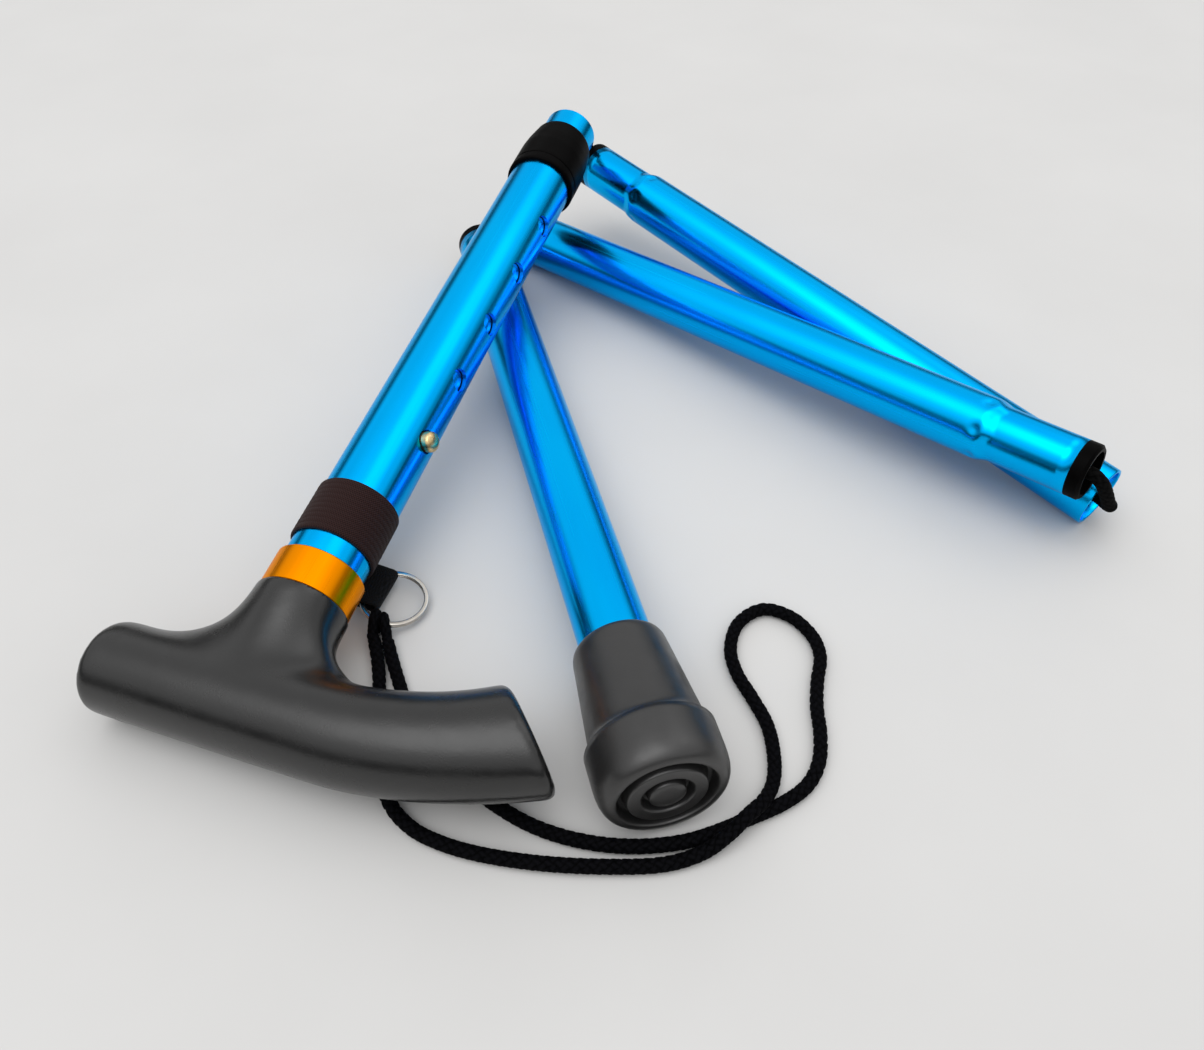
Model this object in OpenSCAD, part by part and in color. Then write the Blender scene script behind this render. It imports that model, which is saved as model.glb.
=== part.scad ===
// Folding cane, lying part folded on a floor, in millimetres.
// Four tube sections hang on one elastic cord: the handle section with its telescoping
// inner tube, and three equal lower sections that zig-zag across the floor.
// X runs to the right, Y away from the handle's side of the floor, Z up from the floor.

/* [Handle] */
// Thickness of the round grip
grip_d = 24.8; // [22:0.2:28]
// Reach of the grip's short arm from the shaft's axis
grip_short = 41; // [35:1:55]
// Reach of the grip's long arm from the shaft's axis
grip_long = 71; // [62:1:85]
// Distance from the neck's rim to the grip's centre line
grip_drop = 29.5; // [27:0.5:34]
// Turn of the grip about the shaft as it lies, long arm up
grip_roll = 3.8; // [2:0.1:8]
// Slope of the grip away from square to the shaft, long arm down
grip_rake = 2.5; // [0:0.1:6]
// Diameter of the neck's rim
neck_d = 25.6; // [24.5:0.2:30]
// Depth of the shaft's socket in the handle
socket_depth = 22; // [15:1:26]

/* [Collar and bands] */
// Length of the gold collar
collar_l = 11; // [8:0.5:16]
// Wall of the gold collar
collar_wall = 1.2; // [0.8:0.1:2]
// Place of the elastic band along the shaft
band_at = 17; // [16.5:0.5:24]
// Width of the elastic band
band_w = 17; // [12:1:22]
// Thickness of the elastic band
band_t = 0.9; // [0.6:0.1:1.4]
// Length of the lock ring over the end of the outer tube
lock_l = 26; // [20:1:36]
// Wall of the lock ring
lock_wall = 1.2; // [0.8:0.1:1.8]

/* [Tubes] */
// Diameter of the outer tube
outer_od = 22; // [21.8:0.1:23]
// Wall of the outer tube
outer_wall = 1.2; // [0.8:0.1:1.25]
// Length of the outer tube below the handle
outer_l = 205; // [195:1:230]
// Diameter of the inner tube and of the lower sections
tube_od = 19; // [18.4:0.1:19.2]
// Wall of the inner tube and of the lower sections
tube_wall = 0.9; // [0.7:0.1:1.2]
// Length of the inner tube that shows below the outer tube
stub_l = 15; // [14:1:30]
// Length of each lower section, over its plug
section_l = 228.2; // [215:0.1:245]
// Length of the neck that plugs into the next tube
neck_l = 22; // [16:1:30]
// Clearance between a neck and the bore it plugs into
neck_clear = 0.2; // [0.1:0.05:0.4]
// Clearance between the inner tube and the outer tube
slide_clear = 0.3; // [0.1:0.05:0.4]

/* [Height stops] */
// Distance from the handle to the first stop hole
hole_at = 58.5; // [55:0.5:70]
// Spacing of the stop holes
hole_pitch = 25.4; // [22:0.1:27]
// Number of stop holes
hole_count = 5; // [4:1:5]
// Diameter of the stop holes
hole_d = 7; // [6.4:0.2:8]
// Diameter of the snap button
button_d = 6; // [4.8:0.1:6.2]
// Height of the snap button above the outer tube
button_h = 3.2; // [2:0.1:4.5]
// Turn of the stop holes about the shaft, from straight down
hole_turn = -106; // [-130:1:-60]

/* [Elastic and plugs] */
// Diameter of the elastic cord
elastic_d = 4; // [3:0.2:5]
// Length of a plug's rim
plug_rim = 4.2; // [3:0.1:8]
// Length of a plug's spigot
plug_spigot = 10; // [6:0.5:14]

/* [Rubber tip] */
// Length of the rubber tip
tip_l = 43; // [38:1:55]
// Diameter of the rubber tip at its top
tip_top_d = 24.4; // [23:0.2:28]
// Diameter of the rubber tip above its foot
tip_waist_d = 28.6; // [26:0.2:30]
// Diameter of the rubber foot
foot_d = 32; // [30.5:0.5:40]
// Height of the rubber foot
foot_h = 17; // [12:1:20]
// Depth of the tube in the rubber tip
tip_depth = 19; // [16:1:24]

/* [Wrist strap] */
// Diameter of the braided wrist cord
cord_d = 3.4; // [3:0.1:3.6]
// Outer diameter of the split ring
ring_od = 19; // [17:0.5:20]
// Thickness of the split ring's wire
ring_wire = 1.4; // [1:0.1:1.6]
// Width of the webbing loop
webbing_w = 11; // [8:0.5:12]
// Thickness of the webbing
webbing_t = 1; // [0.6:0.1:1.2]

/* [Hidden] */
$fn = 64;

// Gap left between two pieces of one assembly that are pressed together
fit_gap = 0.05;
// Gap left between pieces that turn or slide past each other
run_gap = 0.3;

// Colours
blue = [0.0, 0.45, 0.9];
gold = [0.95, 0.5, 0.05];
grey = [0.16, 0.16, 0.17];
black = [0.04, 0.04, 0.045];
steel = [0.75, 0.75, 0.77];
brass = [0.75, 0.6, 0.3];

// Tube sizes
outer_r = outer_od / 2;
tube_r = tube_od / 2;
tube_bore_r = tube_r - tube_wall;
neck_r = tube_bore_r - neck_clear;
neck_bore_r = neck_r - tube_wall;
outer_bore_r = tube_r + slide_clear;
lock_r = outer_r + fit_gap + lock_wall;
elastic_r = elastic_d / 2;
cord_hole_r = elastic_r + run_gap;
step_l = 4;
recess_l = plug_rim - 1;
step_at = plug_rim + neck_l;
shaft_l = outer_l + stub_l;
lock_nose = 5.6;
lock_at = outer_l + fit_gap + lock_nose - lock_l;
inner_cover = 13;
inner_top = hole_at - inner_cover;
travel = hole_pitch * (hole_count - 1);

// Directions as they lie: heading from +X, counted to the left, for each section
heading_1 = 73.4;
heading_2 = -47.7;
heading_3 = 137.4;
// Gap in plan between the end of the grip's long arm and the tip's foot, which sets the last heading
tip_clear = 9.8714;
// Steps in plan from one section's open end to the next section's plug
step_a = [8.1, 10.9];
step_b = [-10.8, -8.5];
step_c = [-18.2, -5.8];
// Place of the handle's neck on the floor
rest_x = -90.175;
rest_y = -84.868;

// Where the long arm starts to curl, and how fast
curl_from = 22;
curl_rate = 0.005;

// Heights as they lie
grip_edge = 2.5;
floor_gap = 0.02;
lie_gap = 5;
cross_at = 146;
cross_share = 0.26;
grip_z = grip_half(-grip_short) + (grip_short - grip_edge) * sin(grip_roll);
mouth_z = tube_r + floor_gap;
plug_lift = 0.2;
mouth_lift = 0.5;
plug_4_z = tube_r + plug_lift;
cross_z = plug_4_z + cross_share * (foot_d / 2 - plug_4_z) + outer_r + tube_r + lie_gap;
tilt_1 = asin((cross_z - grip_z) / (cross_at + grip_drop));
neck_z = grip_z + grip_drop * sin(tilt_1);
plug_2_z = 1.5 * tube_od;
plug_3_z = mouth_z + 0.91 * tube_od;
end_3_z = tube_r + mouth_lift;
tilt_2 = asin((mouth_z - plug_2_z) / section_l);
tilt_3 = asin((end_3_z - plug_3_z) / section_l);
foot_round = 2.6;
foot_at = section_l - tip_depth + tip_l - foot_h + foot_round;
tilt_4 = asin((foot_d / 2 + floor_gap - plug_4_z) / foot_at);

// Unit vector at a heading and a tilt
function unit(heading, tilt) =
    [cos(tilt) * cos(heading), cos(tilt) * sin(heading), sin(tilt)];
dir_1 = unit(heading_1, tilt_1);
dir_2 = unit(heading_2, tilt_2);
dir_3 = unit(heading_3, tilt_3);
function over(p, step, z) = [p[0] + step[0], p[1] + step[1], z];
neck_pt = [rest_x, rest_y, neck_z];
end_1 = neck_pt + shaft_l * dir_1;
plug_2_pt = over(end_1, step_a, plug_2_z);
end_2 = plug_2_pt + section_l * dir_2;
plug_3_pt = over(end_2, step_b, plug_3_z);
end_3 = plug_3_pt + section_l * dir_3;
plug_4_pt = over(end_3, step_c, plug_4_z);

// The fourth section heads past the end of the grip's long arm
grip_end = neck_pt + grip_w(grip_long) * dir_1 + grip_long * [sin(heading_1), -cos(heading_1), 0];
past = [grip_end[0] - plug_4_pt[0], grip_end[1] - plug_4_pt[1]];
heading_4 = atan2(past[1], past[0]) + asin((foot_d / 2 + tip_clear) / norm(past));
dir_4 = unit(heading_4, tilt_4);

// The children of this module stand on local Z, with local X down towards the floor
module lay(point, heading, tilt) {
    translate(point) rotate([0, 90 - tilt, heading]) children();
}
module on_1() { lay(neck_pt, heading_1, tilt_1) children(); }
module on_2() { lay(plug_2_pt, heading_2, tilt_2) children(); }
module on_3() { lay(plug_3_pt, heading_3, tilt_3) children(); }
module on_4() { lay(plug_4_pt, heading_4, tilt_4) children(); }

// Swept skins: a list of rings, each of the same number of points, with flat ends
function flat(lists) = [for (l = lists) for (e = l) e];
module skin(rings) {
    n = len(rings[0]);
    m = len(rings);
    sides = flat([for (i = [0:m - 2]) flat([for (j = [0:n - 1])
        let (k = (j + 1) % n)
        [[i * n + j, i * n + k, (i + 1) * n + j], [i * n + k, (i + 1) * n + k, (i + 1) * n + j]]])]);
    low = [for (j = [1:n - 2]) [0, j + 1, j]];
    top = [for (j = [1:n - 2]) [(m - 1) * n, (m - 1) * n + j, (m - 1) * n + j + 1]];
    polyhedron(flat(rings), concat(sides, low, top));
}

// A tube along points: its rings turn with the path and stay as level as they can
function tangent(p, i) =
    let (a = p[max(i - 1, 0)], b = p[min(i + 1, len(p) - 1)])
    (b - a) / norm(b - a);
function sideways(t) =
    let (s = [t[1], -t[0], 0])
    norm(s) > 0.01 ? s / norm(s) : [1, 0, 0];
function pipe_rings(p, r, sides) = [for (i = [0:len(p) - 1])
    let (t = tangent(p, i), s = sideways(t), u = cross(s, t))
    [for (k = [0:sides - 1]) p[i] + r * (cos(360 * k / sides) * s + sin(360 * k / sides) * u)]];

// A cord's bend: a cubic curve from p to q that two further points draw out
function bend(p, c, d, q, n) =
    [for (i = [0:n]) let (t = i / n, u = 1 - t)
        u * u * u * p + 3 * u * u * t * c + 3 * u * t * t * d + t * t * t * q];

// Grip: the centre line runs straight along the short arm and curls up along the long arm
grip_sides = 28;
end_cut = 0.75;
function grip_w(u) = -grip_drop - tan(grip_rake) * u + curl_rate * pow(max(u - curl_from, 0), 2);
function grip_slope(u) = 2 * curl_rate * max(u - curl_from, 0) - tan(grip_rake);
// Half thickness along the grip: fuller in the palm, drawn in a little at both ends
function grip_half(u) = grip_d / 2 * (1 - 0.03 * pow((u - 18) / 60, 2));
// A grip ring at u, square to the centre line, leant over by lean times its height
function grip_ring(u, half, lean) =
    let (a = atan(grip_slope(u)))
    [for (k = [0:grip_sides - 1])
        let (g = 360 * k / grip_sides, h = half * cos(g))
        [-half * sin(g), u - h * (sin(a) + lean), grip_w(u) + h * cos(a)]];
grip_steps = 20;
function grip_stations() = concat(
    [[-grip_short, grip_half(-grip_short) - grip_edge], [-grip_short + 0.7, grip_half(-grip_short) - 0.8]],
    [for (i = [0:grip_steps])
        let (u = -grip_short + grip_edge + (grip_short + grip_long - 2 * grip_edge) * i / grip_steps)
        [u, grip_half(u)]],
    [[grip_long - 0.7, grip_half(grip_long) - 0.8], [grip_long, grip_half(grip_long) - grip_edge]]);
// The long arm's end face leans back, fading in over the last third of the arm
function end_lean(u) = end_cut * 0.55 * pow(max(u - curl_from, 0) / (grip_long - curl_from), 2);

// Neck: ovals that open from the round rim into the grip, more on the short arm's side
neck_sides = 36;
neck_rings = [[0, 0, 0, 0], [-3, 0.4, 0, 0.1], [-6, 1.3, 0, 0.2], [-9, 3.4, 0.4, 0.3], [-11.5, 7, 1.6, 0.4],
    [-13.5, 12, 4.2, 0.5], [-15, 15, 7.5, 0.6], [-19, 17, 10, 0.8], [-grip_drop, 17, 10, 1]];
function neck_ring(w, left, right, thin) =
    let (r = neck_d / 2)
    [for (k = [0:neck_sides - 1])
        let (g = 360 * k / neck_sides, half = r + (cos(g) > 0 ? right : left))
        [(r - thin) * sin(g), half * cos(g), w]];

// Local frame of the handle: X across the grip, Y towards the long arm, Z up the shaft
module on_handle() { on_1() rotate([0, 0, 180 - grip_roll]) children(); }

module handle() {
    color(grey) on_handle() difference() {
        union() {
            skin([for (s = grip_stations()) grip_ring(s[0], s[1], end_lean(s[0]))]);
            skin([for (i = [len(neck_rings) - 1:-1:0])
                neck_ring(neck_rings[i][0], neck_rings[i][1], neck_rings[i][2], neck_rings[i][3])]);
        }
        translate([0, 0, -socket_depth]) cylinder(h = socket_depth + 1, r = outer_r + fit_gap);
    }
}

// A round sleeve from z = at, with its two radii and its length
module sleeve(at, length, bore_r, out_r) {
    translate([0, 0, at]) difference() {
        cylinder(h = length, r = out_r);
        translate([0, 0, -1]) cylinder(h = length + 2, r = bore_r);
    }
}

// The collar's rim is rolled over a little at both ends
collar_roll = 0.4;
module collar() {
    color(gold) on_1() rotate_extrude() polygon([
        [outer_r + fit_gap, 0],
        [outer_r + fit_gap + collar_wall - collar_roll, 0],
        [outer_r + fit_gap + collar_wall, collar_roll],
        [outer_r + fit_gap + collar_wall, collar_l - collar_roll],
        [outer_r + fit_gap + collar_wall - collar_roll, collar_l],
        [outer_r + fit_gap, collar_l]]);
}

// Turns its children so that local X points through the stop holes
module to_holes() { on_1() rotate([0, 0, hole_turn]) children(); }

module outer_tube() {
    color(blue) to_holes() difference() {
        translate([0, 0, -socket_depth]) cylinder(h = outer_l + socket_depth, r = outer_r);
        translate([0, 0, -socket_depth - 1]) cylinder(h = outer_l + socket_depth + 2, r = outer_bore_r);
        for (i = [0:hole_count - 1])
            translate([0, 0, hole_at + i * hole_pitch])
                rotate([0, 90, 0]) cylinder(h = outer_r + 1, r = hole_d / 2);
    }
}

// The lock ring grips the outer tube's end and tapers onto the inner tube
module lock_ring() {
    color(black) on_1() translate([0, 0, lock_at]) rotate_extrude() polygon([
        [outer_r + fit_gap, 0],
        [lock_r - 0.6, 0],
        [lock_r, 0.8],
        [lock_r, 0.45 * lock_l],
        [lock_r - 0.5, 0.7 * lock_l],
        [outer_bore_r + 0.9, lock_l - 0.5],
        [outer_bore_r + 0.5, lock_l],
        [outer_bore_r, lock_l],
        [outer_bore_r, lock_l - lock_nose],
        [outer_r + fit_gap, lock_l - lock_nose]]);
}

module elastic_band() {
    color(black) on_1() sleeve(band_at, band_w, outer_r + fit_gap, outer_r + fit_gap + band_t);
}

// Split ring: flat on the floor, its near edge on the floor and its far edge in the webbing loop
ring_mid_r = ring_od / 2 - ring_wire / 2;
ring_tilt = 8;
ring_turn = heading_1 + 90;
ring_pt = [rest_x + 19.2, rest_y + 15.2, ring_od / 2 * sin(ring_tilt) + ring_wire + 0.85];
module on_ring() { translate(ring_pt) rotate([0, 0, ring_turn]) rotate([0, -ring_tilt, 0]) children(); }

module split_ring() {
    color(steel) on_ring() rotate_extrude() translate([ring_mid_r, 0]) circle(r = ring_wire / 2, $fn = 24);
}

// Webbing loop: a tape from under the elastic band, folded back through the ring
slot_half = ring_wire / 2 + 0.2;
fold_at = 4.2;
loop_lean = 16;
loop_l = 4.3;
module webbing_loop() {
    half = slot_half + webbing_t;
    color(black) on_ring() rotate([90, 0, 0]) linear_extrude(webbing_w, center = true) difference() {
        union() {
            translate([fold_at, 0]) circle(r = half);
            translate([fold_at, -half]) square([ring_mid_r - fold_at, 2 * half]);
            translate([ring_mid_r, 0]) circle(r = half);
            translate([ring_mid_r, 0]) rotate(loop_lean) translate([0, -webbing_t]) square([loop_l, 2 * webbing_t]);
        }
        translate([fold_at, 0]) circle(r = slot_half);
        translate([fold_at, -slot_half]) square([ring_mid_r - fold_at, 2 * slot_half]);
        translate([ring_mid_r, 0]) circle(r = slot_half);
    }
}

// Wrist cord: one loop of braid from the ring, under the grip, round on the floor and back.
// Places are from the handle's neck in plan; heights are the middle of the cord.
cord_r = cord_d / 2;
cord_route = [
    [15.2, 3.2, 3], [17, -2.5, 2.2], [18.6, -9, 1.9], [19.8, -16, 1.9], [21, -26, 1.9], [23, -36, 1.9], [27, -46, 1.9],
    [33, -52.5, 1.9], [41, -56.5, 1.9], [51, -59.2, 1.9], [64, -61, 1.9], [78, -61.6, 1.9], [91, -61, 1.9],
    [100, -58.4, 2.3], [106, -55, 4.2], [111, -50.6, 5.6], [115.6, -45.6, 4.2], [118.5, -39.5, 2.2],
    [119.4, -32, 1.9], [118.6, -23.5, 1.9], [115.6, -15.5, 1.9], [112.2, -7.5, 1.9], [111.2, 0.5, 1.9],
    [114, 9, 1.9], [121, 14, 1.9], [128.5, 11.5, 1.9], [133.5, 5, 1.9], [134.8, -2, 1.9], [133, -10, 1.9],
    [131.8, -18, 1.9], [131.6, -26, 1.9], [130.2, -34, 1.9], [126.5, -40.5, 1.9], [120, -45.4, 1.9],
    [112, -49.2, 1.9], [104, -52.8, 1.9], [96, -55.4, 1.9], [86, -56.6, 1.9], [76, -56, 1.9], [66, -53.6, 1.9],
    [57, -49.5, 1.9], [47, -42.5, 1.9], [39, -34.5, 1.9], [32, -26, 1.9], [26.8, -17.5, 1.9], [23.4, -9.5, 1.9],
    [20.9, -3, 2.2], [19.1, 2.2, 3]];
cord_sides = 8;
cord_pts = [for (p = cord_route) [rest_x + p[0], rest_y + p[1], p[2]]];
module wrist_cord() {
    color(black) skin(pipe_rings(cord_pts, cord_r, cord_sides));
}

// Cord hitch: the bight that goes round the ring's wire
hitch_turn = 90;
hitch_w = 6;
// How far the ring's wire bows over the width of the hitch, which is shared by its two sides
hitch_bow = ring_mid_r - sqrt(ring_mid_r * ring_mid_r - hitch_w * hitch_w / 4);
hitch_gap = ring_wire / 2 + hitch_bow / 2 + run_gap;
module cord_hitch() {
    color(black) on_ring() rotate([0, 0, hitch_turn]) translate([ring_mid_r - hitch_bow / 2, 0, 0])
        rotate([90, 0, 0])
            linear_extrude(hitch_w, center = true) difference() {
                circle(r = hitch_gap + 0.5 * cord_d);
                circle(r = hitch_gap);
            }
}

module inner_tube() {
    color(blue) to_holes() difference() {
        translate([0, 0, inner_top]) cylinder(h = shaft_l - inner_top, r = tube_r);
        translate([0, 0, inner_top - 1]) cylinder(h = shaft_l - inner_top + 2, r = tube_bore_r);
        translate([0, 0, hole_at]) rotate([0, 90, 0]) cylinder(h = tube_r + 1, r = button_d / 2 + run_gap);
    }
}

// Button spring: a strip bent to a V that pushes the button out through both tubes
spring_t = 0.6;
spring_w = 7;
spring_l = 34;
// The button's foot, a thin lip that stays inside the inner tube's curved wall
button_lip = 0.7;
button_foot = 0.5;
spring_bow = sqrt(pow(tube_bore_r, 2) - pow(button_d / 2 + button_lip, 2)) - button_foot - run_gap;
module button_spring() {
    color(steel) to_holes() translate([0, spring_w / 2, hole_at + 8 - spring_l]) rotate([90, 0, 0])
        linear_extrude(spring_w) polygon([
            [spring_bow, spring_l], [spring_bow, spring_l - 14], [1.2, 0.6], [0, 0], [-1.2, 0.6],
            [-spring_bow, spring_l - 4], [-spring_bow + spring_t, spring_l - 4], [0, spring_t * 2],
            [spring_bow - spring_t, spring_l - 13.8], [spring_bow - spring_t, spring_l]]);
}

// Snap button: a shouldered pin with a domed head
dome_steps = 8;
module snap_button() {
    low = spring_bow + fit_gap;
    top = outer_r + button_h;
    r = button_d / 2;
    dome = 0.62 * r;
    color(brass) to_holes() translate([0, 0, hole_at]) rotate([0, 90, 0]) rotate_extrude() polygon(concat(
        [[0, low], [r + button_lip, low], [r + button_lip, low + button_foot], [r, low + button_foot]],
        [for (i = [0:dome_steps]) [r * cos(90 * i / dome_steps), top - dome + dome * sin(90 * i / dome_steps)]]));
}

// A stop for the elastic: a disc with a hole, pressed into a tube's bore
module anchor(at, length) { sleeve(at, length, cord_hole_r, tube_bore_r - fit_gap); }

anchor_l = 8;
anchor_drop = 40;
anchor_top_at = hole_at + anchor_drop;
knot_r = elastic_r * 1.9;
module anchor_top() { color(black) on_1() anchor(anchor_top_at, anchor_l); }

// How far inside an open tube end the elastic starts to bend
tuck = 12;
// A straight stretch of elastic, with a knot on its low end if asked
module elastic(from, to, knot_at) {
    translate([0, 0, from]) cylinder(h = to - from, r = elastic_r);
    if (knot_at != undef) translate([0, 0, knot_at]) sphere(r = knot_r);
}
knot_gap = sqrt(knot_r * knot_r - cord_hole_r * cord_hole_r);
module elastic_1() {
    color(black) on_1() elastic(anchor_top_at - knot_gap, shaft_l - tuck, anchor_top_at - knot_gap - run_gap);
}
module elastic_2() { color(black) on_2() elastic(recess_l, section_l - tuck); }
module elastic_3() { color(black) on_3() elastic(recess_l, section_l - tuck); }
anchor_low_at = section_l - 40;
module anchor_low() { color(black) on_4() anchor(anchor_low_at, anchor_l); }
module elastic_4() {
    knot_at = anchor_low_at + anchor_l + knot_gap;
    color(black) on_4() elastic(recess_l, knot_at, knot_at + run_gap);
}

// The bare bends of elastic, pulled tight over the rims between an open end and the next plug
span_rings = 14;
span_sides = 8;
span_lead = 1.5;
function apart(p, q, dir) = let (v = q - p, s = v - (v * dir) * dir) s / norm(s);
module span(open_end, open_dir, plug, plug_dir, out, back) {
    start = open_end - (tuck - run_gap) * open_dir;
    stop = plug + (recess_l - run_gap) * plug_dir;
    near = open_end + out * open_dir + 3.5 * apart(open_end, plug, open_dir);
    far = plug - back * plug_dir + 2.5 * apart(plug, open_end, plug_dir);
    bent = bend(start + span_lead * open_dir, near, far, stop - span_lead * plug_dir, span_rings);
    skin(pipe_rings(concat([start], bent, [stop]), elastic_r, span_sides));
}
module elastic_span_a() { color(black) span(end_1, dir_1, plug_2_pt, dir_2, 9, 8); }
module elastic_span_b() { color(black) span(end_2, dir_2, plug_3_pt, dir_3, 9, 8); }
module elastic_span_c() { color(black) span(end_3, dir_3, plug_4_pt, dir_4, 8, 7); }

// A lower section's tube: swaged neck, a step with crimp marks, then the full tube
crimp_r = 3;
crimp_depth = 0.45;
crimp_count = 4;
module section_tube() {
    difference() {
        rotate_extrude() polygon([
            [neck_bore_r, plug_rim], [neck_r, plug_rim], [neck_r, step_at], [tube_r, step_at + step_l],
            [tube_r, section_l], [tube_bore_r, section_l], [tube_bore_r, step_at + step_l],
            [neck_bore_r, step_at]]);
        for (i = [0:crimp_count - 1])
            rotate([0, 0, 45 + 360 * i / crimp_count])
                translate([tube_r + crimp_r - crimp_depth, 0, step_at + step_l + 1]) sphere(r = crimp_r);
    }
}
module tube_2() { color(blue) on_2() section_tube(); }
module tube_3() { color(blue) on_3() section_tube(); }
module tube_4() { color(blue) on_4() section_tube(); }

// A plug: a hollow rim, a spigot in the neck's bore, and the hole that the elastic comes out of
plug_edge = 0.8;
plug_wall = 1.8;
module plug() {
    rotate_extrude() polygon([
        [neck_r - plug_wall, 0], [neck_r - plug_edge, 0], [neck_r, plug_edge], [neck_r, plug_rim],
        [neck_bore_r - fit_gap, plug_rim], [neck_bore_r - fit_gap, plug_rim + plug_spigot],
        [cord_hole_r, plug_rim + plug_spigot], [cord_hole_r, recess_l], [neck_r - plug_wall, recess_l]]);
}
module plug_2() { color(black) on_2() plug(); }
module plug_3() { color(black) on_3() plug(); }
module plug_4() { color(black) on_4() plug(); }

// Rubber tip: a tapered cup on the tube with a foot and ring treads on its sole
tip_at = section_l - tip_depth;
washer_t = 1.5;
tread_d = 1.6;
tread_1 = [0.34, 0.46];
tread_2 = [0.70, 0.82];
module rubber_tip() {
    foot_r = foot_d / 2;
    cup_r = tube_r + fit_gap;
    color(grey) on_4() translate([0, 0, tip_at]) rotate_extrude() polygon([
        [cup_r, 0], [tip_top_d / 2 - 2, 0], [tip_top_d / 2 - 0.6, 0.6], [tip_top_d / 2, 2.2],
        [tip_waist_d / 2, tip_l - foot_h], [foot_r - 0.7, tip_l - foot_h + 1], [foot_r, tip_l - foot_h + foot_round],
        [foot_r, tip_l - 5], [foot_r - 0.9, tip_l - 2], [foot_r - 2.6, tip_l],
        [foot_r * tread_2[1], tip_l], [foot_r * tread_2[1], tip_l - tread_d],
        [foot_r * tread_2[0], tip_l - tread_d], [foot_r * tread_2[0], tip_l],
        [foot_r * tread_1[1], tip_l], [foot_r * tread_1[1], tip_l - tread_d],
        [foot_r * tread_1[0], tip_l - tread_d], [foot_r * tread_1[0], tip_l], [0, tip_l],
        [0, tip_depth + washer_t + fit_gap], [cup_r, tip_depth + washer_t + fit_gap]]);
}
module tip_washer() {
    color(steel) on_4() translate([0, 0, section_l + fit_gap / 2]) cylinder(h = washer_t, r = tube_r);
}

handle();
collar();
outer_tube();
lock_ring();
elastic_band();
webbing_loop();
split_ring();
cord_hitch();
wrist_cord();
inner_tube();
button_spring();
snap_button();
anchor_top();
elastic_1();
elastic_span_a();
tube_2();
plug_2();
elastic_2();
elastic_span_b();
tube_3();
plug_3();
elastic_3();
elastic_span_c();
tube_4();
plug_4();
elastic_4();
anchor_low();
rubber_tip();
tip_washer();
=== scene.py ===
# %% [markdown]
# # A folding cane lying half unfolded
# The cane is a moulded T grip on a telescoping shaft, three more tubes strung on an elastic cord, a rubber
# tip, and a braided wrist cord on a split ring. The frame below holds every solid at its true size and place.
# This lesson dresses it: hard parts whose shape is already right only get a finish, and soft or moulded parts
# are made again as surfaces on grids of numbers.

# %% Load the frame
import bmesh
import bpy
import numpy as np
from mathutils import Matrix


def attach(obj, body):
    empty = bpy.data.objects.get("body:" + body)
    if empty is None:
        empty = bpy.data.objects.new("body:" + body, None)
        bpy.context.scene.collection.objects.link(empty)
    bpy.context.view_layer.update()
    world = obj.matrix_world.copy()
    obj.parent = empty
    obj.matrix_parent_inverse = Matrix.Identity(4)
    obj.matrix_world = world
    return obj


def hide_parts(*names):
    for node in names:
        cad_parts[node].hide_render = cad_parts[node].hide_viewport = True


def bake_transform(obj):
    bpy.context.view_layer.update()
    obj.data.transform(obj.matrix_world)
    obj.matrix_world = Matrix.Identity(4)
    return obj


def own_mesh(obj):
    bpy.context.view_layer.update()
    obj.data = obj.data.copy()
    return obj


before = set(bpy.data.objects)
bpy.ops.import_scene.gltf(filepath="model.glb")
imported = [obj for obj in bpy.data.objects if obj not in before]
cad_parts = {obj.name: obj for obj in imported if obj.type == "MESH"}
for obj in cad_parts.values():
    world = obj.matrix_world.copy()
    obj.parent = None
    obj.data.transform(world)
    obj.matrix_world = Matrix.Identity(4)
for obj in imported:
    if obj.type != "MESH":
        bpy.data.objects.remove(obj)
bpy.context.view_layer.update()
scene = bpy.context.scene
scene.view_settings.view_transform = "Standard"

# %% [markdown]
# ## Where each section lies
# The cane lies as a chain. Each section is a straight line with a heading in plan, a length and the heights
# of its two ends, and it starts a short step in plan past the end of the one before. One function turns a
# section's own measure, with Z along the tube and X towards the floor, into the place where it lies, so a
# shape can be worked out upright and laid down at the end. Shapes are worked out in millimetres, and the
# frame is in metres.

# %% Sections and their own frames
MM = 0.001
NECK = np.array([-90.175, -84.868])
SHAFT_L, SECTION_L = 220.0, 228.2
# For each section: its name, heading, length, heights at both ends, and the step from the one before
LEGS = (
    ("shaft", 73.4, SHAFT_L, (18.331, 46.218), (0.0, 0.0)),
    ("second", -47.7, SECTION_L, (28.5, 9.52), (8.1, 10.9)),
    ("third", 137.4, SECTION_L, (26.81, 10.0), (-10.8, -8.5)),
    ("fourth", -75.0, SECTION_L, (9.7, 15.765), (-18.2, -5.8)),
)
SECTIONS = {}
reached = NECK
for name, heading, length, (low, high), step in LEGS:
    tilt = np.degrees(np.arcsin((high - low) / length))
    plan = np.array([np.cos(np.radians(heading)), np.sin(np.radians(heading))])
    SECTIONS[name] = ((*(reached + step), low), heading, tilt)
    reached = reached + step + length * np.cos(np.radians(tilt)) * plan


def turned(x, y, z):
    """The matrix of turns about X, then Y, then Z, in degrees."""
    (cx, cy, cz), (sx, sy, sz) = np.cos(np.radians([x, y, z])), np.sin(np.radians([x, y, z]))
    about_x = np.array([[1, 0, 0], [0, cx, -sx], [0, sx, cx]])
    about_y = np.array([[cy, 0, sy], [0, 1, 0], [-sy, 0, cy]])
    about_z = np.array([[cz, -sz, 0], [sz, cz, 0], [0, 0, 1]])
    return about_z @ about_y @ about_x


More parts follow.
